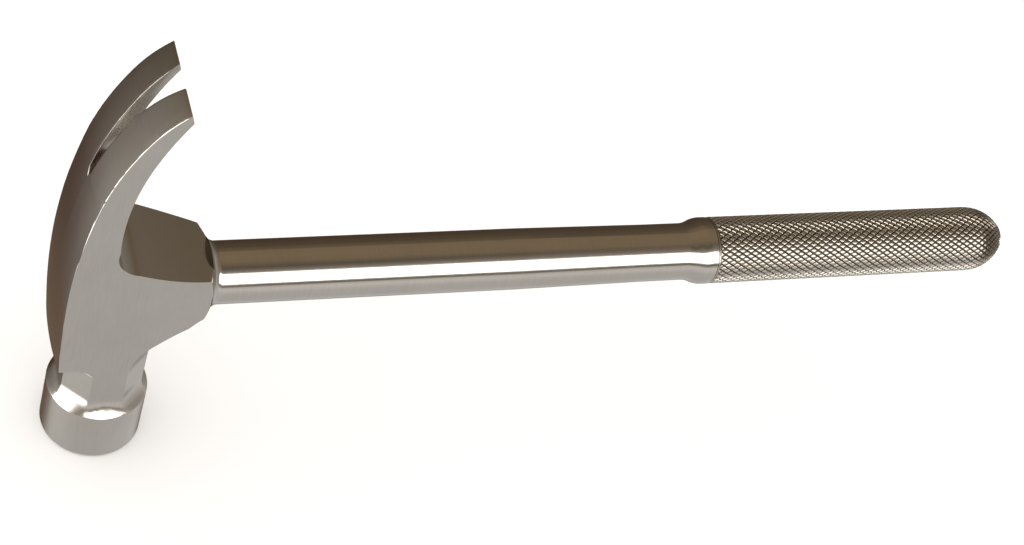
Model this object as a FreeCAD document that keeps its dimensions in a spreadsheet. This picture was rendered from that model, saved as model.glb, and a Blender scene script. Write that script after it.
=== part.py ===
import FreeCAD, Part
import math
import os

import Sketcher

# Small all-steel claw hammer: a struck head on a round steel handle with a knurled grip.
# Origin: centre of the striking face. +Z runs up the head from the face to the claws,
# +X runs along the handle towards the grip, and the two cheeks face -Y and +Y.

doc = FreeCAD.newDocument("ClawHammer")

# Driving dimensions in millimetres.
SIZES = [
    # striking drum and octagonal neck
    ("drumRadius", 11.4),
    ("drumHeight", 14.2),
    ("faceChamfer", 0.4),
    ("neckHalf", 9.1),
    ("flareTop", 19.0),
    ("ledgeHeight", 29.8),
    ("ledgeFillet", 3.5),
    # crowned back of the block and claws
    ("backX", 13.6),
    ("backTurn", 54.0),
    ("clawTurn", 84.5),
    ("clawEndTurn", 104.0),
    ("backLowerRadius", 226.0),
    ("backMiddleRadius", 150.0),
    ("clawOuterRadius", 64.0),
    ("clawEndRadius", 30.0),
    ("crownRadius", 79.0),
    # hollow side of the claws
    ("clawInnerRadius", 64.0),
    ("clawRootX", 3.7),
    ("clawRootHeight", 71.0),
    ("clawInnerX", 4.97),
    ("clawInnerHeight", 108.5),
    ("clawNoseX", 5.7),
    ("clawNoseHeight", 109.7),
    ("blankTop", 114.0),
    ("rootRadius", 6.2),
    ("slotInnerHalf", 4.4),
    ("slotWallSlope", 0.52),
    ("slotApex", 84.0),
    ("slotFullHeight", 93.0),
    # handle socket
    ("handleHeight", 50.8),
    ("socketRootX", 1.4),
    ("socketRootHeight", 63.65),
    ("socketTopRadius", 140.0),
    ("socketEndX", 19.7),
    ("socketEndTop", 57.5),
    ("undersideX", 17.4),
    ("undersideHeight", 44.6),
    ("undersideRadius", 20.0),
    ("undersideTurn", 28.3),
    ("diagonalTurn", 26.8),
    ("diagonalReach", 12.0),
    ("endFlatRadius", 7.0),
    ("endConeDrop", 4.8),
    ("endConeRise", 10.2),
    # widths of the head
    ("cheekHalf", 10.5),
    ("planTaperRadius", 79.0),
    ("taperTop", 48.0),
    ("taperBottom", 25.0),
    # dowel, tube and weld
    ("dowelRadius", 5.0),
    ("dowelInHead", 22.0),
    ("dowelInTube", 26.0),
    ("boreRelief", 1.5),
    ("endChamfer", 0.5),
    ("tubeRadius", 7.0),
    ("taperStartX", 92.0),
    ("waistRadius", 6.68),
    ("waistX", 124.0),
    ("swellX", 133.0),
    ("collarX", 138.2),
    ("collarEndX", 139.9),
    ("seamChamfer", 0.25),
    ("weldRadius", 8.7),
    ("weldEndX", 21.6),
    ("weldHollow", 2.6),
    # grip
    ("gripRadius", 7.88),
    ("gripBore", 6.0),
    ("gripBoreEnd", 206.0),
    ("spigotInTube", 22.0),
    ("spigotInGrip", 24.0),
    ("domeX", 210.5),
    ("domeShoulder", 8.69),
    ("domeLength", 10.1),
    ("plugRadius", 3.85),
    ("plugShank", 8.0),
]

sheet = doc.addObject("Spreadsheet::Sheet", "Sizes")
for row, (alias, number) in enumerate(SIZES, start=1):
    sheet.set("A%d" % row, alias)
    sheet.set("B%d" % row, str(number))
    sheet.setAlias("B%d" % row, alias)
doc.recompute()

SIDE_VIEW = FreeCAD.Rotation(FreeCAD.Vector(1, 0, 0), 90)
END_VIEW = FreeCAD.Rotation(FreeCAD.Vector(1, 1, 1), 120)
TOP_VIEW = FreeCAD.Rotation()
ALONG_X = FreeCAD.Vector(1, 0, 0)
ALONG_Z = FreeCAD.Vector(0, 0, 1)
PAST_HEAD = "60"


# Sketches and solids

def cells(expression):
    """Expression with each $name read from the sheet."""
    return expression.replace("$", "Sizes.")


def value(expression):
    return float(sheet.evalExpression(cells(expression)))


def rounded_side(start, end, radius, left):
    """Arc from start to end with its centre left or right of the way along."""
    chord = end - start
    across = FreeCAD.Vector(-chord.y, chord.x, 0).normalize()
    reach = math.sqrt(radius ** 2 - (chord.Length / 2) ** 2)
    centre = (start + end) * 0.5 + across * (reach if left else -reach)
    circle = Part.Circle(centre, ALONG_Z, radius)
    first, last = (start, end) if left else (end, start)
    return Part.ArcOfCircle(circle, circle.parameter(first), circle.parameter(last))


def draw(sketch, corners, arcs):
    """Closed outline: corners are pairs of expressions, arcs map a side to (radius, centre left).

    Each corner is tied to the sketch's origin, and each arc to its radius.
    """
    points = [FreeCAD.Vector(value(across), value(up), 0) for across, up in corners]
    count = len(points)
    ends = []
    for side, start in enumerate(points):
        end = points[(side + 1) % count]
        if side in arcs:
            radius, left = arcs[side]
            sketch.addGeometry(rounded_side(start, end, value(radius), left), False)
            ends.append((1, 2) if left else (2, 1))
        else:
            sketch.addGeometry(Part.LineSegment(start, end), False)
            ends.append((1, 2))
    for side in range(count):
        after = (side + 1) % count
        meet = Sketcher.Constraint("Coincident", side, ends[side][1], after, ends[after][0])
        sketch.addConstraint(meet)
    for side, (across, up) in enumerate(corners):
        corner = ends[side][0]
        for kind, axis, expression in (("DistanceX", -2, across), ("DistanceY", -1, up)):
            if expression == "0":
                sketch.addConstraint(Sketcher.Constraint("PointOnObject", side, corner, axis))
                continue
            place = Sketcher.Constraint(kind, -1, 1, side, corner, value(expression))
            rule = sketch.addConstraint(place)
            sketch.setExpression("Constraints[%d]" % rule, cells(expression))
    for side, (radius, _) in arcs.items():
        rule = sketch.addConstraint(Sketcher.Constraint("Radius", side, value(radius)))
        sketch.setExpression("Constraints[%d]" % rule, cells(radius))


def outline(name, view, corners, arcs=None, turn=0.0):
    """Sketch on a plane through the origin, turned about +Z where asked."""
    sketch = doc.addObject("Sketcher::SketchObject", name + "_outline")
    about_z = FreeCAD.Rotation(ALONG_Z, turn)
    sketch.Placement = FreeCAD.Placement(FreeCAD.Vector(), about_z.multiply(view))
    draw(sketch, corners, arcs or {})
    return sketch


def slab(name, sketch, width):
    """Extrusion to both sides of the sketch's plane."""
    solid = doc.addObject("Part::Extrusion", name)
    solid.Base = sketch
    solid.DirMode = "Normal"
    solid.Solid = True
    solid.Symmetric = True
    solid.setExpression("LengthFwd", cells(width))
    return solid


def revolve(name, sketch, axis, angle=360.0):
    solid = doc.addObject("Part::Revolution", name)
    solid.Source = sketch
    solid.Axis = axis
    solid.Angle = angle
    solid.Symmetric = True
    solid.Solid = True
    return solid


def combine(kind, name, shapes):
    result = doc.addObject(kind, name)
    result.Shapes = shapes
    result.Refine = True
    return result


def cut(name, base, tool):
    result = doc.addObject("Part::Cut", name)
    result.Base = base
    result.Tool = tool
    return result


def turned_body(name, corners, arcs=None):
    """PartDesign body turned about the handle's axis from corners of (x, radius)."""
    body = doc.addObject("PartDesign::Body", name)
    body.Label = name
    body.setExpression("Placement.Base.z", "Sizes.handleHeight")
    plane = [part for part in body.Origin.OriginFeatures if part.Role == "XZ_Plane"][0]
    sketch = body.newObject("Sketcher::SketchObject", name + "_outline")
    sketch.AttachmentSupport = [(plane, "")]
    sketch.MapMode = "FlatFace"
    draw(sketch, corners, arcs or {})
    turned = body.newObject("PartDesign::Revolution", name + "_turned")
    turned.Profile = sketch
    turned.ReferenceAxis = (sketch, ["H_Axis"])
    turned.Angle = 360.0
    return body


# Head

def head_side():
    """Block, claws, socket and neck as one thick side outline."""
    corners = [
        ("-$neckHalf", "$flareTop - 1"),
        ("$neckHalf", "$flareTop - 1"),
        ("$neckHalf", "$undersideTurn"),
        ("$undersideX", "$undersideHeight"),
        ("$socketEndX", "$undersideHeight + 1"),
        ("$socketEndX", "$socketEndTop"),
        ("$socketRootX", "$socketRootHeight"),
        ("-$clawRootX", "$clawRootHeight"),
        ("$clawInnerX", "$clawInnerHeight"),
        ("$clawNoseX", "$clawNoseHeight"),
        ("$clawInnerX - 0.6", "$blankTop"),
        ("-$backX - 3", "$blankTop"),
        ("-$backX - 3", "$ledgeHeight"),
        ("-$neckHalf - $ledgeFillet", "$ledgeHeight"),
        ("-$neckHalf", "$ledgeHeight - $ledgeFillet"),
    ]
    hollows = {
        2: ("$undersideRadius", False),
        5: ("$socketTopRadius", False),
        6: ("$rootRadius", False),
        7: ("$clawInnerRadius", False),
        13: ("$ledgeFillet", False),
    }
    return slab("head_side", outline("head_side", SIDE_VIEW, corners, hollows), PAST_HEAD)


def head_front():
    """Front outline: straight cheeks that draw in to the neck in a soft double bend."""
    step = "(($cheekHalf - $neckHalf) / 2)"
    rise = "(($taperTop - $taperBottom) / 2)"
    bend = "((%s ^ 2 + %s ^ 2) / (2 * %s))" % (step, rise, step)
    middle_y = "(($cheekHalf + $neckHalf) / 2)"
    middle_z = "(($taperTop + $taperBottom) / 2)"
    corners = [
        ("-$neckHalf", "$flareTop - 2"),
        ("$neckHalf", "$flareTop - 2"),
        ("$neckHalf", "$taperBottom"),
        (middle_y, middle_z),
        ("$cheekHalf", "$taperTop"),
        ("$cheekHalf", "$blankTop + 1"),
        ("-$cheekHalf", "$blankTop + 1"),
        ("-$cheekHalf", "$taperTop"),
        ("-" + middle_y, middle_z),
        ("-$neckHalf", "$taperBottom"),
    ]
    bends = {2: (bend, False), 3: (bend, True), 7: (bend, True), 8: (bend, False)}
    return slab("head_front", outline("head_front", END_VIEW, corners, bends), PAST_HEAD)


def head_plan():
    """Outline from above: parallel cheeks that curve in along the socket."""
    end_x = "($socketEndX + 3)"
    drop = "($planTaperRadius - sqrt($planTaperRadius ^ 2 - %s ^ 2))" % end_x
    corners = [
        ("-20", "-$cheekHalf"),
        ("0", "-$cheekHalf"),
        (end_x, "%s - $cheekHalf" % drop),
        (end_x, "$cheekHalf - %s" % drop),
        ("0", "$cheekHalf"),
        ("-20", "$cheekHalf"),
    ]
    tapers = {1: ("$planTaperRadius", True), 3: ("$planTaperRadius", True)}
    return slab("head_plan", outline("head_plan", TOP_VIEW, corners, tapers), "2 * $blankTop + 4")


def head_back():
    """Blank whose back is the crowned outer side of the block and claws."""
    low = "($flareTop - 2)"
    middle_sine = "(($clawTurn - $backTurn) / $backMiddleRadius)"
    middle_cosine = "sqrt(1 - %s ^ 2)" % middle_sine
    low_x = "($backLowerRadius - $backX - sqrt($backLowerRadius ^ 2 - ($backTurn - %s) ^ 2))" % low
    turn_x = "($backMiddleRadius * (1 - %s) - $backX)" % middle_cosine
    claw_x = "(%s + $clawOuterRadius * %s)" % (turn_x, middle_cosine)
    claw_z = "($clawTurn - $clawOuterRadius * %s)" % middle_sine
    claw_sine = "(($clawEndTurn - %s) / $clawOuterRadius)" % claw_z
    claw_cosine = "sqrt(1 - %s ^ 2)" % claw_sine
    end_x = "(%s - $clawOuterRadius * %s)" % (claw_x, claw_cosine)
    top_x = "(%s + $clawEndRadius * %s)" % (end_x, claw_cosine)
    top_z = "($clawEndTurn + $clawEndRadius * (1 - %s))" % claw_sine
    axis_x = "($crownRadius - $backX)"
    corners = [
        (axis_x, low),
        (axis_x, top_z),
        (top_x, top_z),
        (end_x, "$clawEndTurn"),
        (turn_x, "$clawTurn"),
        ("-$backX", "$backTurn"),
        (low_x, low),
    ]
    curves = {
        2: ("$clawEndRadius", True),
        3: ("$clawOuterRadius", True),
        4: ("$backMiddleRadius", True),
        5: ("$backLowerRadius", True),
    }
    crowned = revolve("head_back", outline("head_back", SIDE_VIEW, corners, curves), ALONG_Z, 60)
    crowned.setExpression("Base.x", cells(axis_x))
    return crowned


def neck_flat_cutter(name, turn, rising):
    """Cutter for a diagonal flat of the neck that rises under the socket or ends at the ledge."""
    low = "$flareTop - 3"
    outer = "$neckHalf + 15"
    if rising:
        radius = "$undersideRadius"
        reach = "$diagonalReach"
        start = "$diagonalTurn"
        top = "($diagonalTurn + sqrt($undersideRadius ^ 2 - ($undersideRadius - $diagonalReach) ^ 2))"
    else:
        radius = "$ledgeFillet"
        reach = "$ledgeFillet"
        start = "$ledgeHeight - $ledgeFillet"
        top = "$ledgeHeight"
    corners = [
        ("$neckHalf", low),
        (outer, low),
        (outer, top),
        ("$neckHalf + " + reach, top),
        ("$neckHalf", start),
    ]
    return slab(name, outline(name, SIDE_VIEW, corners, {3: (radius, True)}, turn), PAST_HEAD)


def socket_end_cutter():
    """Ring that turns the corners off the socket's end, as on a nut."""
    rim = "$handleHeight + $endFlatRadius + $endConeRise"
    corners = [
        ("$socketEndX", "$handleHeight"),
        ("$socketEndX + 5", "$handleHeight"),
        ("$socketEndX + 5", rim),
        ("$socketEndX - $endConeDrop", rim),
        ("$socketEndX", "$handleHeight + $endFlatRadius"),
    ]
    ring = revolve("socket_end", outline("socket_end", SIDE_VIEW, corners), ALONG_X)
    ring.setExpression("Base.z", "Sizes.handleHeight")
    return ring


def nail_slot_cutter():
    """Slot that splits the claws: open wider on the hollow side and narrow at its foot."""
    run = "($clawInnerX + $clawRootX)"
    rise = "($clawInnerHeight - $clawRootHeight)"
    chord = "sqrt(%s ^ 2 + %s ^ 2)" % (run, rise)
    reach = "sqrt($clawInnerRadius ^ 2 - %s ^ 2 / 4)" % chord
    centre_x = "(($clawInnerX - $clawRootX) / 2 + %s * %s / %s)" % (reach, rise, chord)
    centre_z = "(($clawInnerHeight + $clawRootHeight) / 2 - %s * %s / %s)" % (reach, run, chord)

    past_hollow = 2
    mouth_x = "(%s - $clawInnerRadius + %d)" % (centre_x, past_hollow)
    mouth_half = "($slotInnerHalf + $slotWallSlope * %d)" % past_hollow
    edge_x = "(%s - $clawInnerRadius - $slotInnerHalf / $slotWallSlope)" % centre_x
    corners = [(edge_x, "0"), (mouth_x, "-" + mouth_half), (mouth_x, mouth_half)]
    wedge = outline("slot_walls", TOP_VIEW, corners)
    wedge.setExpression("Placement.Base.z", cells(centre_z))
    walls = revolve("slot_walls", wedge, FreeCAD.Vector(0, 1, 0), 90)
    walls.setExpression("Base.x", cells(centre_x))
    walls.setExpression("Base.z", cells(centre_z))

    top = "($blankTop + 2)"
    spread = "($slotInnerHalf * (%s - $slotApex) / ($slotFullHeight - $slotApex))" % top
    corners = [("0", "$slotApex"), (spread, top), ("-" + spread, top)]
    foot = slab("slot_foot", outline("slot_foot", END_VIEW, corners), PAST_HEAD)
    return combine("Part::MultiCommon", "nail_slot", [walls, foot])


def neck_flare():
    """Hollow flare from the eight-sided neck down to the round drum."""
    low = value("$drumHeight")
    high = value("$flareTop")
    rim = value("$drumRadius")
    flat = value("$neckHalf")
    half_side = math.pi / 8
    corner = flat / math.cos(half_side)
    levels = 6

    def hollow(inner, height):
        """Radius on an arc that is upright at the top and reaches the rim at the bottom."""
        depth = rim - inner
        radius = (depth ** 2 + (high - low) ** 2) / (2 * depth)
        return inner + radius - math.sqrt(radius ** 2 - (high - height) ** 2)

    def point(radius, angle, height):
        return FreeCAD.Vector(radius * math.cos(angle), radius * math.sin(angle), height)

    def ring(height):
        """Eight arcs that are almost straight at the neck and one circle at the drum."""
        edges = []
        for side in range(8):
            middle = 2 * half_side * side
            first = point(hollow(corner, height), middle - half_side, height)
            crown = point(hollow(flat, height), middle, height)
            last = point(hollow(corner, height), middle + half_side, height)
            straight = height > high - 1e-6
            edge = Part.LineSegment(first, last) if straight else Part.Arc(first, crown, last)
            edges.append(edge.toShape())
        return Part.Wire(edges)

    heights = [high - (high - low) * level / levels for level in range(levels + 1)]
    flare = doc.addObject("Part::Feature", "neck_flare")
    flare.Shape = Part.makeLoft([ring(height) for height in heights], True, False)
    return flare


def drum():
    """Round striking drum with its edge chamfered."""
    corners = [
        ("0", "0"),
        ("$drumRadius - $faceChamfer", "0"),
        ("$drumRadius", "$faceChamfer"),
        ("$drumRadius", "$drumHeight"),
        ("0", "$drumHeight"),
    ]
    return revolve("drum", outline("drum", SIDE_VIEW, corners), ALONG_Z)


def dowel_bore():
    bore = doc.addObject("Part::Cylinder", "dowel_bore")
    bore.Placement = FreeCAD.Placement(FreeCAD.Vector(), FreeCAD.Rotation(FreeCAD.Vector(0, 1, 0), 90))
    bore.setExpression("Radius", "Sizes.dowelRadius")
    bore.setExpression("Height", "Sizes.dowelInHead + Sizes.boreRelief + 5")
    bore.setExpression("Placement.Base.x", "Sizes.socketEndX - Sizes.dowelInHead - Sizes.boreRelief")
    bore.setExpression("Placement.Base.z", "Sizes.handleHeight")
    return bore


def head():
    blanks = [head_side(), head_front(), head_plan(), head_back()]
    solid = combine("Part::MultiCommon", "head_forging", blanks)
    flats = (
        ("neck_flat_front_right", -45, True),
        ("neck_flat_rear_right", 45, True),
        ("neck_flat_front_left", -135, False),
        ("neck_flat_rear_left", 135, False),
    )
    for name, turn, rising in flats:
        solid = cut(name + "_cut", solid, neck_flat_cutter(name, turn, rising))
    solid = cut("claws_split", solid, nail_slot_cutter())
    solid = cut("end_turned", solid, socket_end_cutter())
    solid = combine("Part::MultiFuse", "head_with_drum", [solid, neck_flare(), drum()])
    bored = cut("head", solid, dowel_bore())
    bored.Label = "head"
    return bored


# Handle

def tenon_dowel():
    """Solid steel dowel, half in the head and half in the tube."""
    corners = [
        ("$socketEndX - $dowelInHead", "0"),
        ("$socketEndX + $dowelInTube", "0"),
        ("$socketEndX + $dowelInTube", "$dowelRadius - $endChamfer"),
        ("$socketEndX + $dowelInTube - $endChamfer", "$dowelRadius"),
        ("$socketEndX - $dowelInHead + $endChamfer", "$dowelRadius"),
        ("$socketEndX - $dowelInHead", "$dowelRadius - $endChamfer"),
    ]
    return turned_body("tenon_dowel", corners)


def shaft_tube():
    """Round tube with a slight waist that swells to the collar before the grip."""
    step = "(($gripRadius - $waistRadius) / 2)"
    run = "(($collarX - $swellX) / 2)"
    bend = "((%s ^ 2 + %s ^ 2) / (2 * %s))" % (step, run, step)
    corners = [
        ("$socketEndX", "$dowelRadius"),
        ("$collarEndX", "$dowelRadius"),
        ("$collarEndX", "$gripRadius - $seamChamfer"),
        ("$collarEndX - $seamChamfer", "$gripRadius"),
        ("$collarX", "$gripRadius"),
        ("($collarX + $swellX) / 2", "($gripRadius + $waistRadius) / 2"),
        ("$swellX", "$waistRadius"),
        ("$waistX", "$waistRadius"),
        ("$taperStartX", "$tubeRadius"),
        ("$socketEndX", "$tubeRadius"),
    ]
    return turned_body("shaft_tube", corners, {4: (bend, True), 5: (bend, False)})


def neck_weld():
    """Hollow-faced ring weld between the socket's turned end and the tube."""
    toe_x = "$socketEndX - ($weldRadius - $endFlatRadius) * $endConeDrop / $endConeRise"
    corners = [
        ("$socketEndX", "$endFlatRadius"),
        ("$weldEndX", "$tubeRadius"),
        (toe_x, "$weldRadius"),
    ]
    return turned_body("neck_weld", corners, {1: ("$weldHollow", False)})


def grip_spigot():
    """Stepped steel plug that joins the tube to the grip sleeve."""
    corners = [
        ("$collarEndX - $spigotInTube", "0"),
        ("$collarEndX + $spigotInGrip", "0"),
        ("$collarEndX + $spigotInGrip", "$gripBore - $endChamfer"),
        ("$collarEndX + $spigotInGrip - $endChamfer", "$gripBore"),
        ("$collarEndX", "$gripBore"),
        ("$collarEndX", "$dowelRadius"),
        ("$collarEndX - $spigotInTube + $endChamfer", "$dowelRadius"),
        ("$collarEndX - $spigotInTube", "$dowelRadius - $endChamfer"),
    ]
    return turned_body("grip_spigot", corners)


def grip_sleeve():
    """Grip tube whose end is spun over into a dome around the end plug."""
    fall = "($gripRadius - $plugRadius)"
    shoulder = "(($domeShoulder ^ 2 + %s ^ 2) / (2 * %s))" % (fall, fall)
    corners = [
        ("$collarEndX", "$gripBore"),
        ("$gripBoreEnd", "$gripBore"),
        ("$domeX + $domeShoulder - $plugShank + 1.5", "$plugRadius"),
        ("$domeX + $domeShoulder", "$plugRadius"),
        ("$domeX", "$gripRadius"),
        ("$collarEndX + $seamChamfer", "$gripRadius"),
        ("$collarEndX", "$gripRadius - $seamChamfer"),
    ]
    return turned_body("grip_sleeve", corners, {3: (shoulder, True)})


def end_plug():
    """Smooth button that closes the dome."""
    tip = "($domeLength - $domeShoulder)"
    nose = "((%s ^ 2 + $plugRadius ^ 2) / (2 * %s))" % (tip, tip)
    foot = "$domeX + $domeShoulder - $plugShank"
    corners = [
        (foot, "0"),
        ("$domeX + $domeLength", "0"),
        ("$domeX + $domeShoulder", "$plugRadius"),
        (foot + " + $endChamfer", "$plugRadius"),
        (foot, "$plugRadius - $endChamfer"),
    ]
    return turned_body("end_plug", corners, {1: (nose, True)})


nodes = [head(), tenon_dowel(), shaft_tube(), neck_weld(), grip_spigot(), grip_sleeve(), end_plug()]
doc.recompute()

for item in doc.Objects:
    if "Invalid" in item.State or "Error" in item.State:
        raise RuntimeError("%s did not build: %s" % (item.Name, item.State))

os.makedirs("parts", exist_ok=True)
for node in nodes:
    shape = node.Shape
    if shape.isNull() or not shape.isValid() or len(shape.Solids) != 1:
        raise RuntimeError("%s has no single valid solid" % node.Label)
    shape.exportStep("parts/%s.step" % node.Label)
    box = shape.BoundBox
    print("%-12s volume %9.1f mm3, x %.1f to %.1f, z %.1f to %.1f" % (
        node.Label, shape.Volume, box.XMin, box.XMax, box.ZMin, box.ZMax))
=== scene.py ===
import math

import bpy
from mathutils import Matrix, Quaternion, Vector


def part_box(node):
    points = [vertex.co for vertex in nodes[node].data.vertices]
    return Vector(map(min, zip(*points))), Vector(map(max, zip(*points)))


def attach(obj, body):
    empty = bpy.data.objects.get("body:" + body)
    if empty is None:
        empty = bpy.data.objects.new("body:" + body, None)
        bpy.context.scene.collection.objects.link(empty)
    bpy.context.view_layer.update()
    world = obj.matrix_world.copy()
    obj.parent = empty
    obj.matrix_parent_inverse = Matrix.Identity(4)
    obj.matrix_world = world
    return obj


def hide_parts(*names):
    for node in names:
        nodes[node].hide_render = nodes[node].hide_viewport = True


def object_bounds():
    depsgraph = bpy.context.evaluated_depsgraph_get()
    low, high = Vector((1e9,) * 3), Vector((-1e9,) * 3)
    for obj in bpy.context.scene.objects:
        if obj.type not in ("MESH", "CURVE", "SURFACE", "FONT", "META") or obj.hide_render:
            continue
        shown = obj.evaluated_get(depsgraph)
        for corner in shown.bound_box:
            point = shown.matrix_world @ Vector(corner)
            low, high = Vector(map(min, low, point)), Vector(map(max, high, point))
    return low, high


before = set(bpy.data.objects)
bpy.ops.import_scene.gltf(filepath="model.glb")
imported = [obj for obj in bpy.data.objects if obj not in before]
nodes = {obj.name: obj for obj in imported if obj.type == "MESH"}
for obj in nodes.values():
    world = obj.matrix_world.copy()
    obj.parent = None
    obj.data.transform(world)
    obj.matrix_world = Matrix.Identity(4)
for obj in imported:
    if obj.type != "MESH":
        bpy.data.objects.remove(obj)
cadLow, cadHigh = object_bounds()
scene = bpy.context.scene
scene.view_settings.view_transform = "Standard"
mm = 0.001


def deselectAll():
    bpy.ops.object.select_all(action="DESELECT")


def linear(hexColour, alpha=1.0):
    # sRGB hex such as "#BDB7AE" to the linear values that a socket takes
    parts = [int(hexColour[i:i + 2], 16) / 255 for i in (1, 3, 5)]
    return [c / 12.92 if c <= 0.04045 else ((c + 0.055) / 1.055) ** 2.4 for c in parts] + [alpha]


def addNode(tree, kind, inputs=None, **settings):
    # inputs maps a socket to a plain value or to the output that feeds it
    node = tree.nodes.new(kind)
    for name, setting in settings.items():
        setattr(node, name, setting)
    for socket, given in (inputs or {}).items():
        if isinstance(given, bpy.types.NodeSocket):
            tree.links.new(given, node.inputs[socket])
        else:
            node.inputs[socket].default_value = given
    return node


# Camera

cameraView = {
    "aim": (0.0897, -0.00395, 0.0508),
    "azimuth": -32.107,
    "elevation": 46.939,
    "roll": 21.911,
    "distance": 0.52388,
    "lens": 80.93,
    "sensor": 36.0,
}


def makeCamera():
    turn = math.radians(cameraView["azimuth"])
    tilt = math.radians(cameraView["elevation"])
    ahead = Vector((-math.sin(turn) * math.cos(tilt), math.cos(turn) * math.cos(tilt), -math.sin(tilt)))
    bpy.ops.object.camera_add(location=Vector(cameraView["aim"]) - ahead * cameraView["distance"])
    camera = bpy.context.object
    camera.name = "camera"
    camera.rotation_mode = "QUATERNION"
    rolled = Quaternion((0, 0, 1), math.radians(cameraView["roll"]))
    camera.rotation_quaternion = ahead.to_track_quat("-Z", "Y") @ rolled
    camera.data.sensor_width = cameraView["sensor"]
    camera.data.lens = cameraView["lens"]
    camera.data.clip_start = 0.01
    scene.camera = camera


# Studio: a pale floor, soft daylight, and a brown room that the bright metal mirrors

studio = {
    "floorSize": 8.0,
    "floorDrop": 0.2 * mm,
    "floorColour": "#F2F3F4",
    "backdrop": "#FDFDFD",
    "daylight": 3.3,
    "daylightSpread": 170.0,
    "roomCentreHeight": 50.0 * mm,
    "sideTurn": (-0.9, -0.2),     # where the front tones give way to the side ones, from front -1 to back 1
    "backTurn": (0.25, 0.95),
}

# tones that the metal mirrors, from straight down (0) to straight up (1)
roomTones = {
    "front": [(0.00, "#D4D4D4"), (0.20, "#DCDCDC"), (0.33, "#F4F4F2"), (0.41, "#EDEBE8"), (0.455, "#746B60"),
              (0.52, "#8A8378"), (0.85, "#A49A91"), (0.93, "#6B655A"), (1.00, "#96846D")],
    "side": [(0.00, "#D6D6D6"), (0.25, "#E0E0DE"), (0.40, "#C8C4BE"), (0.50, "#BBB7B4"), (0.65, "#B5AFA6"),
             (0.85, "#96846D"), (1.00, "#96846D")],
    "back": [(0.00, "#D6D6D6"), (0.03, "#C8C4BE"), (0.07, "#7B6753"), (0.15, "#59453A"), (0.35, "#564638"),
             (0.55, "#5C5143"), (0.76, "#6A5D4B"), (0.90, "#94826A"), (1.00, "#A08C70")],
}

# centre azimuth, lowest and highest elevation, and half width as seen from the hammer, in degrees
softboxes = {
    "frontSoftbox": {"azimuth": 8.0, "halfWidth": 44.0, "low": 4.0, "high": 42.0,
                     "distance": 0.9, "glow": 3.4},
    "leftSoftbox": {"azimuth": -80.0, "halfWidth": 19.0, "low": -38.0, "high": 36.0,
                    "distance": 0.8, "glow": 3.4},
}
hammerMiddle = Vector(((cadLow.x + cadHigh.x) / 2, 0.0, studio["roomCentreHeight"]))


def roomDirection(azimuth, elevation):
    # azimuth 0 is in front of the hammer, along -Y, and 90 is along +X
    turn, rise = math.radians(azimuth), math.radians(elevation)
    return Vector((math.sin(turn) * math.cos(rise), -math.cos(turn) * math.cos(rise), math.sin(rise)))


def makeSoftbox(name, box):
    distance = box["distance"]
    low = distance * math.tan(math.radians(box["low"]))
    high = distance * math.tan(math.radians(box["high"]))
    width = 2 * distance * math.tan(math.radians(box["halfWidth"]))
    place = hammerMiddle + roomDirection(box["azimuth"], 0) * distance + Vector((0, 0, (low + high) / 2))
    bpy.ops.object.light_add(type="AREA", location=place)
    lamp = bpy.context.object
    lamp.name = name
    lamp.rotation_mode = "QUATERNION"
    lamp.rotation_quaternion = (-roomDirection(box["azimuth"], 0)).to_track_quat("-Z", "Y")
    lamp.data.shape = "RECTANGLE"
    lamp.data.size = width
    lamp.data.size_y = high - low
    lamp.data.energy = box["glow"] * math.pi * width * (high - low)
    lamp.visible_camera = False
    lamp.visible_diffuse = False      # it shapes the highlights, and the daylight lights the floor


def makeRoom():
    world = bpy.data.worlds.new("room")
    scene.world = world
    world.use_nodes = True
    tree = world.node_tree
    tree.nodes.clear()
    direction = addNode(tree, "ShaderNodeTexCoord").outputs["Generated"]
    split = addNode(tree, "ShaderNodeSeparateXYZ", {0: direction})
    height = addNode(tree, "ShaderNodeMapRange", {"Value": split.outputs["Z"], "From Min": -1.0})
    level = addNode(tree, "ShaderNodeVectorMath", {0: direction, 1: (1.0, 1.0, 0.0)}, operation="MULTIPLY")
    along = addNode(tree, "ShaderNodeVectorMath", {0: level.outputs[0]}, operation="NORMALIZE")
    around = addNode(tree, "ShaderNodeSeparateXYZ", {0: along.outputs[0]}).outputs["Y"]
    ramps = {}
    for name, tones in roomTones.items():
        ramp = addNode(tree, "ShaderNodeValToRGB", {"Fac": height.outputs["Result"]})
        band = ramp.color_ramp
        while len(band.elements) < len(tones):
            band.elements.new(0.5)
        for element, (position, colour) in zip(band.elements, tones):
            element.position = position
            element.color = linear(colour)
        ramps[name] = ramp.outputs["Color"]
    toSide, toBack = [
        addNode(tree, "ShaderNodeMapRange", {"Value": around, "From Min": first, "From Max": last},
                interpolation_type="SMOOTHSTEP")
        for first, last in (studio["sideTurn"], studio["backTurn"])
    ]
    sides = addNode(tree, "ShaderNodeMix", {"Factor": toSide.outputs["Result"], 6: ramps["front"],
                                            7: ramps["side"]}, data_type="RGBA")
    whole = addNode(tree, "ShaderNodeMix", {"Factor": toBack.outputs["Result"], 6: sides.outputs[2],
                                            7: ramps["back"]}, data_type="RGBA")
    room = addNode(tree, "ShaderNodeBackground", {"Color": whole.outputs[2]})
    plain = addNode(tree, "ShaderNodeBackground", {"Color": linear(studio["backdrop"])})
    seen = addNode(tree, "ShaderNodeLightPath").outputs["Is Camera Ray"]
    mixed = addNode(tree, "ShaderNodeMixShader", {0: seen, 1: room.outputs[0], 2: plain.outputs[0]})
    addNode(tree, "ShaderNodeOutputWorld", {"Surface": mixed.outputs[0]})


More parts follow.
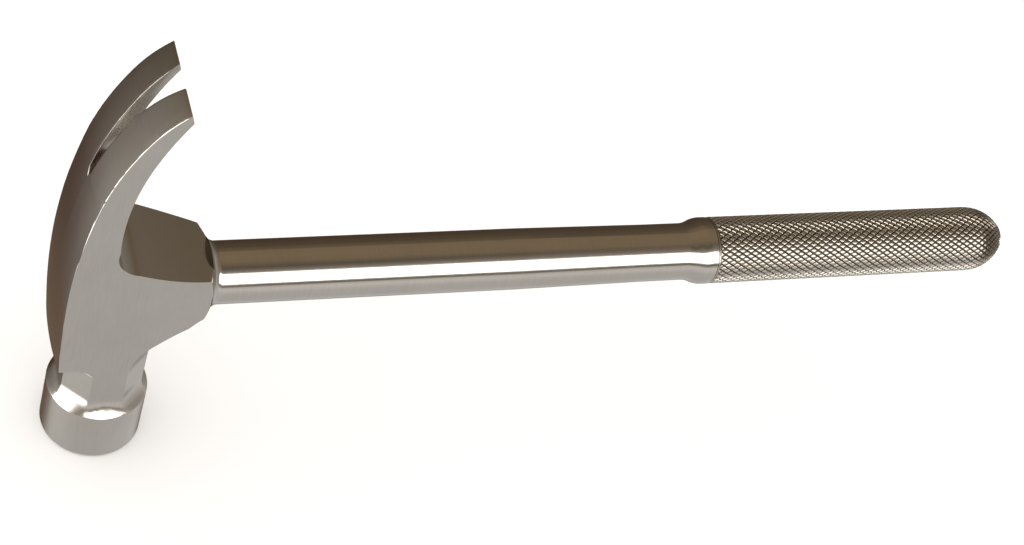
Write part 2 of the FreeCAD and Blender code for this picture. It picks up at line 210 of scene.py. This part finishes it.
def makeStudio():
    makeRoom()
    for name, box in softboxes.items():
        makeSoftbox(name, box)
    bpy.ops.object.light_add(type="SUN", location=(0, 0, 2))
    daylight = bpy.context.object
    daylight.name = "daylight"
    daylight.data.energy = studio["daylight"]
    daylight.data.angle = math.radians(studio["daylightSpread"])
    daylight.visible_glossy = False
    floorHeight = cadLow.z - studio["floorDrop"]
    bpy.ops.mesh.primitive_plane_add(size=studio["floorSize"], location=(0, 0, floorHeight))
    floor = bpy.context.object
    floor.name = "floor"
    floor.visible_glossy = False      # the room's lower half stands for it in the metal
    floor.visible_shadow = False
    paper = bpy.data.materials.new("matt_paper")
    paper.use_nodes = True
    surface = paper.node_tree.nodes["Principled BSDF"]
    surface.inputs["Base Color"].default_value = linear(studio["floorColour"])
    surface.inputs["Roughness"].default_value = 1.0
    surface.inputs["Specular IOR Level"].default_value = 0.0
    floor.data.materials.append(paper)


# Steel finishes

noiseSpan = {"From Min": 0.3, "From Max": 0.7}     # the part of a noise's range that holds most of it


def makeSteel(name, finish):
    steel = bpy.data.materials.new(name)
    steel.use_nodes = True
    tree = steel.node_tree
    surface = tree.nodes["Principled BSDF"]
    surface.inputs["Metallic"].default_value = 1.0
    place = addNode(tree, "ShaderNodeTexCoord").outputs["Object"]

    # soft clouds where the belt bit a little more or less
    cloud = addNode(tree, "ShaderNodeTexNoise", {"Vector": place, "Scale": 1 / (finish["cloudSize"] * mm),
                                                 "Detail": 3.0, "Roughness": 0.55})
    # grain: long in the two directions of the lines and short across them
    stretch = [1 / (size * mm) for size in finish["grainSize"]]
    lines = addNode(tree, "ShaderNodeMapping", {"Vector": place, "Scale": stretch})
    grain = addNode(tree, "ShaderNodeTexNoise", {"Vector": lines.outputs[0], "Scale": 1.0, "Detail": 2.0,
                                                 "Roughness": 0.6})
    mixture = addNode(tree, "ShaderNodeMix", {"Factor": finish["grainShare"], 2: cloud.outputs["Fac"],
                                              3: grain.outputs["Fac"]}, data_type="FLOAT")
    spread = addNode(tree, "ShaderNodeMapRange", {"Value": mixture.outputs[0], **noiseSpan})
    tone = addNode(tree, "ShaderNodeMix", {"Factor": spread.outputs["Result"], 6: linear(finish["dark"]),
                                           7: linear(finish["light"])}, data_type="RGBA")
    colour = tone.outputs[2]
    shiniest, dullest = finish["rough"]
    rough = addNode(tree, "ShaderNodeMapRange", {"Value": mixture.outputs[0], **noiseSpan,
                                                 "To Min": dullest, "To Max": shiniest})

    if "groove" in finish:
        # painted shade: the colour darkens towards the groove shade with distance from the grip's axis,
        # deepest at the groove roots, while the crests keep the steel's colour
        groove = finish["groove"]
        centred = addNode(tree, "ShaderNodeVectorMath", {0: place, 1: (0.0, 0.0, -groove["axisHeight"])},
                          operation="ADD")
        radial = addNode(tree, "ShaderNodeVectorMath", {0: centred.outputs[0], 1: (0.0, 1.0, 1.0)},
                         operation="MULTIPLY")
        radius = addNode(tree, "ShaderNodeVectorMath", {0: radial.outputs[0]}, operation="LENGTH")
        depth = addNode(tree, "ShaderNodeMapRange", {"Value": radius.outputs["Value"],
                                                     "From Min": groove["rootRadius"],
                                                     "From Max": groove["crestRadius"]})
        shadedGrooves = addNode(tree, "ShaderNodeMix", {"Factor": depth.outputs["Result"], 6: linear(groove["paintedGrooveShade"]),
                                                 7: colour}, data_type="RGBA")
        colour = shadedGrooves.outputs[2]
    tree.links.new(colour, surface.inputs["Base Color"])
    tree.links.new(rough.outputs["Result"], surface.inputs["Roughness"])

    wave = addNode(tree, "ShaderNodeTexNoise", {"Vector": place, "Scale": 1 / (finish["waveSize"] * mm),
                                                "Detail": 1.0})
    swell = addNode(tree, "ShaderNodeBump", {"Height": wave.outputs["Fac"], "Strength": 1.0,
                                             "Distance": finish["waveHeight"] * mm})
    scratch = addNode(tree, "ShaderNodeBump", {"Height": grain.outputs["Fac"], "Strength": 1.0,
                                               "Distance": finish["grainHeight"] * mm,
                                               "Normal": swell.outputs["Normal"]})
    tree.links.new(scratch.outputs["Normal"], surface.inputs["Normal"])
    return steel


# Belt-ground stainless: a satin sheen that blurs what it mirrors, with faint clouds and cross lines.
# A 180 grit line is about 0.08 mm wide, drawn 0.3 mm wide so that it shows.
groundFinish = {
    "dark": "#B6B0A7", "light": "#C0BAB2", "rough": (0.17, 0.23),
    "cloudSize": 16.0, "grainSize": (0.3, 6.0, 6.0), "grainShare": 0.35, "grainHeight": 0.0002,
    "waveSize": 18.0, "waveHeight": 0.02,
}
# Lathe-polished stainless: clean bands of light along the tube, with fine rings round it.
# The rings are about 0.05 mm apart, drawn 0.25 mm apart so that they show.
polishedFinish = {
    "dark": "#B8B2A9", "light": "#C2BCB4", "rough": (0.12, 0.15),
    "cloudSize": 20.0, "grainSize": (0.25, 9.0, 9.0), "grainShare": 0.4, "grainHeight": 0.0003,
    "waveSize": 30.0, "waveHeight": 0.02,
}
# Rolled knurl in stainless: crests in the steel's colour over grooves darkened with painted shade.
knurledFinish = {
    "dark": "#B0AAA0", "light": "#C6C1B8", "rough": (0.2, 0.3),
    "cloudSize": 6.0, "grainSize": (0.6, 0.6, 0.6), "grainShare": 0.5, "grainHeight": 0.001,
    "waveSize": 3.0, "waveHeight": 0.01,
    # painted shade: the grooves darken to this colour at the root radius
    "groove": {"axisHeight": 0.0508, "rootRadius": 7.58 * mm, "crestRadius": 7.8 * mm, "paintedGrooveShade": "#7D7468"},
}
# Dressed weld: a mirror-smooth hollow ring with a slightly bluer tone.
weldFinish = {
    "dark": "#B6B2AC", "light": "#C4C0BA", "rough": (0.12, 0.2),
    "cloudSize": 4.0, "grainSize": (0.5, 2.0, 2.0), "grainShare": 0.4, "grainHeight": 0.0004,
    "waveSize": 3.0, "waveHeight": 0.02,
}
# Turned bar stock, hidden inside: plain grey with visible tool rings, 0.2 mm apart.
turnedFinish = {
    "dark": "#8C8A87", "light": "#A3A19D", "rough": (0.3, 0.4),
    "cloudSize": 8.0, "grainSize": (0.2, 9.0, 9.0), "grainShare": 0.7, "grainHeight": 0.003,
    "waveSize": 10.0, "waveHeight": 0.01,
}


def coat(piece, steel):
    piece.data.materials.clear()
    piece.data.materials.append(steel)


# Head: the forging with its hard edges eased

headForging = {
    "easedEdge": 0.22,
    "easedSteps": 2,
    "hardAngle": 24.0,
    "mergeDistance": 0.002,
    "flatAngle": 0.3,
    "smoothAngle": 35.0,
}


def copyOfNode(node, name):
    piece = nodes[node].copy()
    piece.data = nodes[node].data.copy()
    piece.parent = None
    piece.name = name
    for key in list(piece.keys()):
        del piece[key]
    scene.collection.objects.link(piece)
    deselectAll()
    bpy.context.view_layer.objects.active = piece
    piece.select_set(True)
    return piece


def makeHead():
    piece = copyOfNode("head", "forged_head")
    bpy.ops.object.mode_set(mode="EDIT")
    bpy.ops.mesh.select_all(action="SELECT")
    bpy.ops.mesh.customdata_custom_splitnormals_clear()
    bpy.ops.mesh.remove_doubles(threshold=headForging["mergeDistance"] * mm)
    bpy.ops.mesh.normals_make_consistent(inside=False)
    bpy.ops.mesh.dissolve_limited(angle_limit=math.radians(headForging["flatAngle"]))
    bpy.ops.object.mode_set(mode="OBJECT")
    ease = piece.modifiers.new("eased edges", "BEVEL")
    ease.width = headForging["easedEdge"] * mm
    ease.segments = headForging["easedSteps"]
    ease.limit_method = "ANGLE"
    ease.angle_limit = math.radians(headForging["hardAngle"])
    ease.use_clamp_overlap = False
    bpy.ops.object.modifier_apply(modifier=ease.name)
    bpy.ops.object.shade_smooth_by_angle(angle=math.radians(headForging["smoothAngle"]))
    flat = piece.modifiers.new("flat faces", "WEIGHTED_NORMAL")
    flat.keep_sharp = True
    bpy.ops.object.modifier_apply(modifier=flat.name)
    coat(piece, makeSteel("belt_ground_stainless", groundFinish))
    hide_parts("head")
    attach(piece, "root")
    print("head:", len(piece.data.polygons), "faces")


# Grip: diamonds rolled into the sleeve, over the shoulder of its domed end

gripKnurl = {
    "starts": 34,             # diamonds round the grip
    "axialPitch": 2.22,       # along the grip, in mm
    "depth": 0.30,
    "crestInset": 0.20,       # slope of each groove
    "crownInset": 0.12,       # rounding of each crest
    "crownRise": 0.05,
    "edgeLand": 0.15,         # plain land beside the collar
    "edgeBevel": 0.25,
    "boreRadius": 6.0,
    "domeShoulder": 8.69,
    "tipRadius": 3.85,
    "lipDrop": 0.1,           # the plain edge lies this far under the crests
    "lipShare": 0.8,          # of the land, before it meets the knurl
    "tipDepth": 6.5,          # depth of the narrow hole in the dome
    "boreEndDepth": 13.2,     # where the bore begins, from the tip
    "smoothAngle": 30.0,
}


def readSleeve():
    # the sleeve's sizes from the frame, in metres
    low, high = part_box("grip_sleeve")
    crest = (high.z - low.z) / 2
    shoulder = gripKnurl["domeShoulder"] * mm
    fall = crest - gripKnurl["tipRadius"] * mm
    bend = (shoulder ** 2 + fall ** 2) / (2 * fall)
    start = low.x + (gripKnurl["edgeBevel"] + gripKnurl["edgeLand"]) * mm
    straight = high.x - shoulder - start
    return {
        "lowX": low.x, "highX": high.x, "axis": (low.z + high.z) / 2, "crest": crest, "bend": bend,
        "start": start, "straight": straight, "length": straight + bend * math.asin(shoulder / bend),
    }


def gripProfile(sleeve, arc, root):
    # (x, radius) at an arc length from the collar end of the knurl
    if arc <= sleeve["straight"]:
        return sleeve["start"] + arc, sleeve["crest"] - root
    turn = (arc - sleeve["straight"]) / sleeve["bend"]
    shrunk = sleeve["bend"] - root
    domeX = sleeve["start"] + sleeve["straight"]
    return domeX + shrunk * math.sin(turn), sleeve["crest"] - sleeve["bend"] + shrunk * math.cos(turn)


def selectEdges(piece, chosen):
    bpy.ops.mesh.select_mode(type="EDGE")
    bpy.ops.mesh.select_all(action="DESELECT")
    bpy.ops.object.mode_set(mode="OBJECT")
    points = piece.data.vertices
    for edge in piece.data.edges:
        edge.select = chosen(points[edge.vertices[0]].co, points[edge.vertices[1]].co)
    bpy.ops.object.mode_set(mode="EDIT")


def moveVertices(piece, place):
    bpy.ops.object.mode_set(mode="OBJECT")
    for vertex in piece.data.vertices:
        if vertex.select:
            vertex.co = place(vertex.co)
    bpy.ops.object.mode_set(mode="EDIT")


def makeGrip():
    sleeve = readSleeve()
    rings = round(sleeve["length"] / (gripKnurl["axialPitch"] / 2 * mm))
    starts = gripKnurl["starts"]
    root = (gripKnurl["depth"] + gripKnurl["crownRise"]) * mm
    deselectAll()
    bpy.ops.mesh.primitive_cylinder_add(vertices=starts, radius=1.0, depth=1.0, end_fill_type="NOTHING")
    piece = bpy.context.object
    piece.name = "knurled_grip"
    bpy.ops.object.mode_set(mode="EDIT")
    # the lengthwise edges are cut into rings, and every second ring turns by half a diamond
    selectEdges(piece, lambda first, last: abs(first.z - last.z) > 0.5)
    bpy.ops.mesh.subdivide(number_cuts=rings - 1)
    bpy.ops.mesh.select_all(action="SELECT")

    def ontoGrip(point):
        step = round((point.z + 0.5) * rings)
        turn = math.atan2(point.y, point.x) + (math.pi / starts if step % 2 else 0.0)
        x, radius = gripProfile(sleeve, sleeve["length"] * step / rings, root)
        return (x, radius * math.cos(turn), sleeve["axis"] + radius * math.sin(turn))

    moveVertices(piece, ontoGrip)
    bpy.ops.mesh.select_all(action="SELECT")
    bpy.ops.mesh.quads_convert_to_tris(quad_method="SHORTEST_DIAGONAL", ngon_method="BEAUTY")
    # the inner ring edges go, which leaves one four-sided face for each diamond
    firstX = gripProfile(sleeve, 0.0, root)[0]
    lastX = gripProfile(sleeve, sleeve["length"], root)[0]

    def isInnerRing(first, last):
        return abs(first.x - last.x) < 1e-6 and firstX + 1e-5 < first.x < lastX - 1e-5

    selectEdges(piece, isInnerRing)
    bpy.ops.mesh.dissolve_edges(use_verts=False, use_face_split=False)
    bpy.ops.mesh.select_mode(type="FACE")
    bpy.ops.mesh.select_all(action="SELECT")
    bpy.ops.mesh.normals_make_consistent(inside=False)
    print("grip:", len(piece.data.polygons), "diamonds before relief")
    bpy.ops.mesh.inset(thickness=gripKnurl["crestInset"] * mm, depth=gripKnurl["depth"] * mm,
                       use_boundary=True, use_even_offset=True, use_individual=True)
    bpy.ops.mesh.inset(thickness=gripKnurl["crownInset"] * mm, depth=gripKnurl["crownRise"] * mm,
                       use_boundary=True, use_even_offset=True, use_individual=True)
    drawInEnds(piece, sleeve, firstX, lastX)
    bpy.ops.object.mode_set(mode="OBJECT")
    bpy.ops.object.shade_smooth_by_angle(angle=math.radians(gripKnurl["smoothAngle"]))
    coat(piece, makeSteel("rolled_knurl_stainless", knurledFinish))
    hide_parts("grip_sleeve")
    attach(piece, "root")
    print("grip:", len(piece.data.polygons), "faces,", rings, "rings")


def drawInEnds(piece, sleeve, firstX, lastX):
    # each end is drawn in as far as the bore; the bore's own wall, out of sight, is left open
    # known fault: the open mesh ends up with its faces pointing inwards
    collarX, highX, crest = sleeve["lowX"], sleeve["highX"], sleeve["crest"]
    bevel, land = gripKnurl["edgeBevel"] * mm, gripKnurl["edgeLand"] * mm
    bore, tipRadius = gripKnurl["boreRadius"] * mm, gripKnurl["tipRadius"] * mm
    lip = crest - gripKnurl["lipDrop"] * mm
    mouths = {
        firstX: [(collarX + bevel + gripKnurl["lipShare"] * land, lip), (collarX + bevel, lip),
                 (collarX, crest - bevel), (collarX, bore)],
        lastX: [(highX, tipRadius), (highX - gripKnurl["tipDepth"] * mm, tipRadius),
                (highX - gripKnurl["boreEndDepth"] * mm, bore)],
    }
    for mouthX, profile in mouths.items():
        selectEdges(piece, lambda first, last: abs(first.x - mouthX) + abs(last.x - mouthX) < 1e-6)
        for x, radius in profile:
            bpy.ops.mesh.extrude_edges_move()

            def toRing(point):
                out = Vector((0, point.y, point.z - sleeve["axis"])).normalized() * radius
                return (x, out.y, sleeve["axis"] + out.z)

            moveVertices(piece, toRing)
    bpy.ops.mesh.select_all(action="SELECT")
    bpy.ops.mesh.normals_make_consistent(inside=False)


def finishNodes():
    polished = makeSteel("lathe_polished_stainless", polishedFinish)
    turned = makeSteel("turned_bar_steel", turnedFinish)
    coat(nodes["shaft_tube"], polished)
    coat(nodes["end_plug"], polished)
    coat(nodes["neck_weld"], makeSteel("dressed_weld_stainless", weldFinish))
    coat(nodes["tenon_dowel"], turned)
    coat(nodes["grip_spigot"], turned)


makeCamera()
makeStudio()
print("camera and studio ready")
makeHead()
makeGrip()
finishNodes()
print("steel finishes on")
